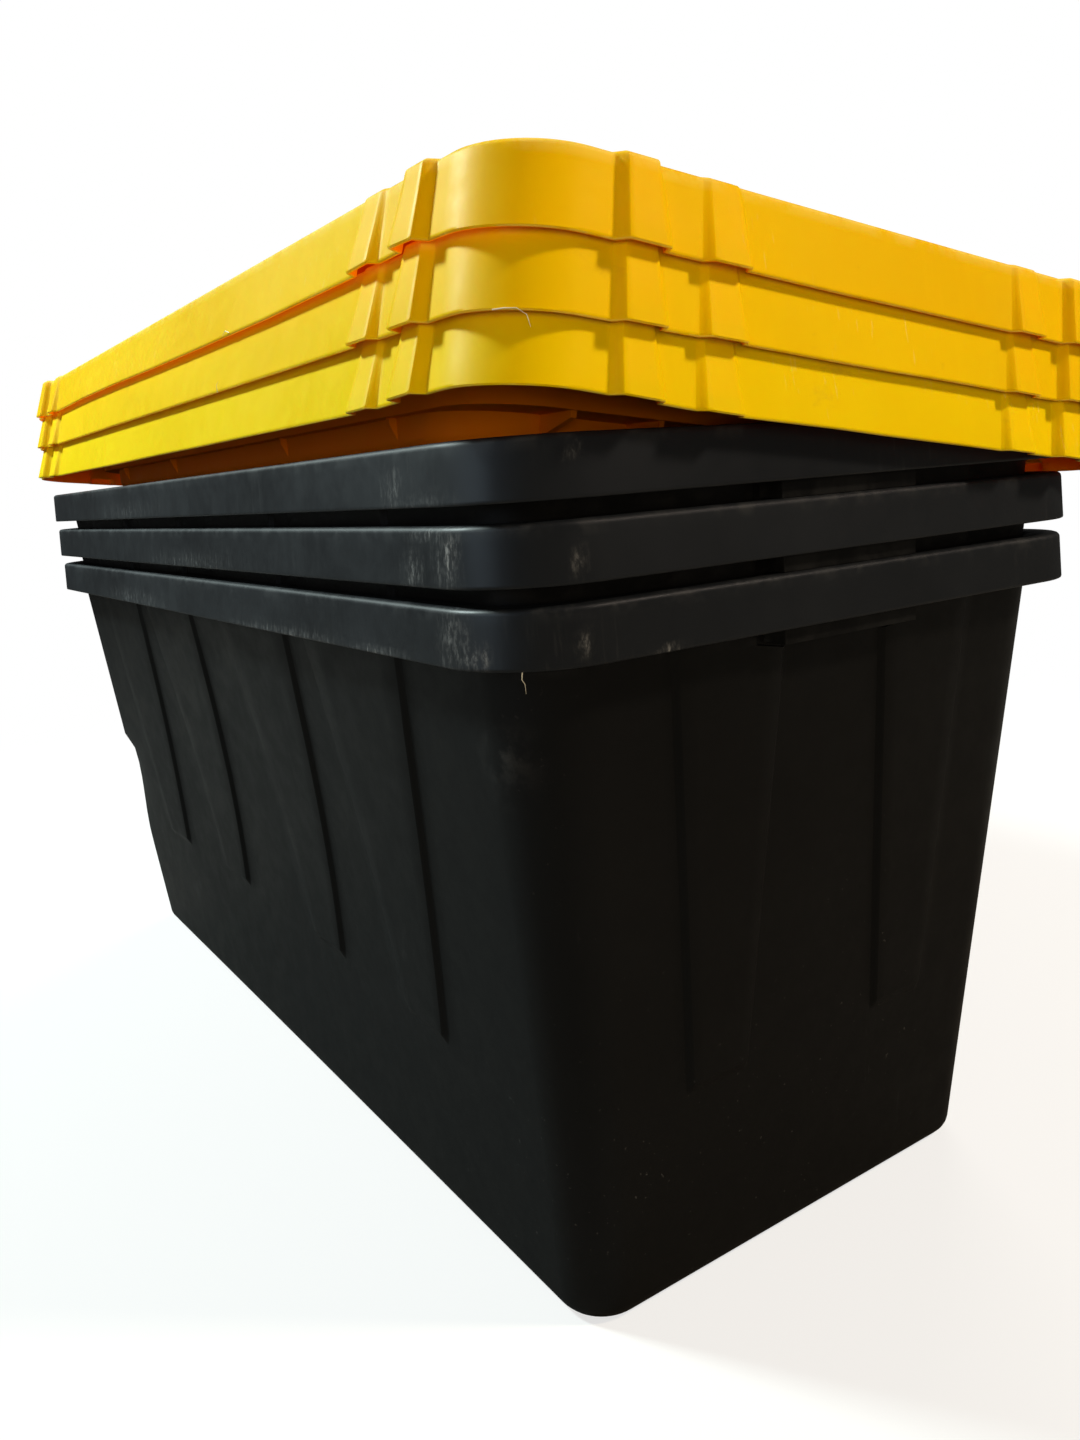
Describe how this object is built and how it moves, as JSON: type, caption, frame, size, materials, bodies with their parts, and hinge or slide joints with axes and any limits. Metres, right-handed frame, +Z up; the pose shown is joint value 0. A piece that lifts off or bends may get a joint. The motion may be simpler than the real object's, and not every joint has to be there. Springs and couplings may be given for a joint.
{
  "type": "stackable storage bin",
  "caption": "Nested stack of long, tapered, black plastic storage bins with turned-down rims, with loose yellow snap-over lids nested on top",
  "frame": {"origin": "centre of the lowest bin's foot, on the floor", "axes": "+X along the bins, +Y across them away from the raised side of the lids, +Z up"},
  "size_m": [1.14, 0.5477, 0.6976],
  "materials": {
    "bin_plastic": "black semi-gloss moulded polypropylene with pale scuffs on the rims",
    "lid_plastic": "safety-yellow moulded polypropylene, slightly glossy"
  },
  "bodies": {
    "bin_lower": {"bin_lower": "bin_plastic"},
    "bin_middle": {"bin_middle": "bin_plastic"},
    "bin_upper": {"bin_upper": "bin_plastic"},
    "lid_lower": {"lid_lower": "lid_plastic"},
    "lid_middle": {"lid_middle": "lid_plastic"},
    "lid_upper": {"lid_upper": "lid_plastic"}
  },
  "joints": [
    {"name": "bin_middle_lift", "type": "slide", "parent": "bin_lower", "child": "bin_middle", "axis": [0, 0, 1], "range_m": [0, 0.46]},
    {"name": "bin_upper_lift", "type": "slide", "parent": "bin_middle", "child": "bin_upper", "axis": [0, 0, 1], "range_m": [0, 0.46]},
    {"name": "lid_lower_lift", "type": "slide", "parent": "bin_upper", "child": "lid_lower", "axis": [0, 0.1201, 0.9928], "range_m": [0, 0.15]},
    {"name": "lid_middle_lift", "type": "slide", "parent": "lid_lower", "child": "lid_middle", "axis": [0, 0.1201, 0.9928], "range_m": [0, 0.12]},
    {"name": "lid_upper_lift", "type": "slide", "parent": "lid_middle", "child": "lid_upper", "axis": [0, 0.1201, 0.9928], "range_m": [0, 0.12]}
  ]
}
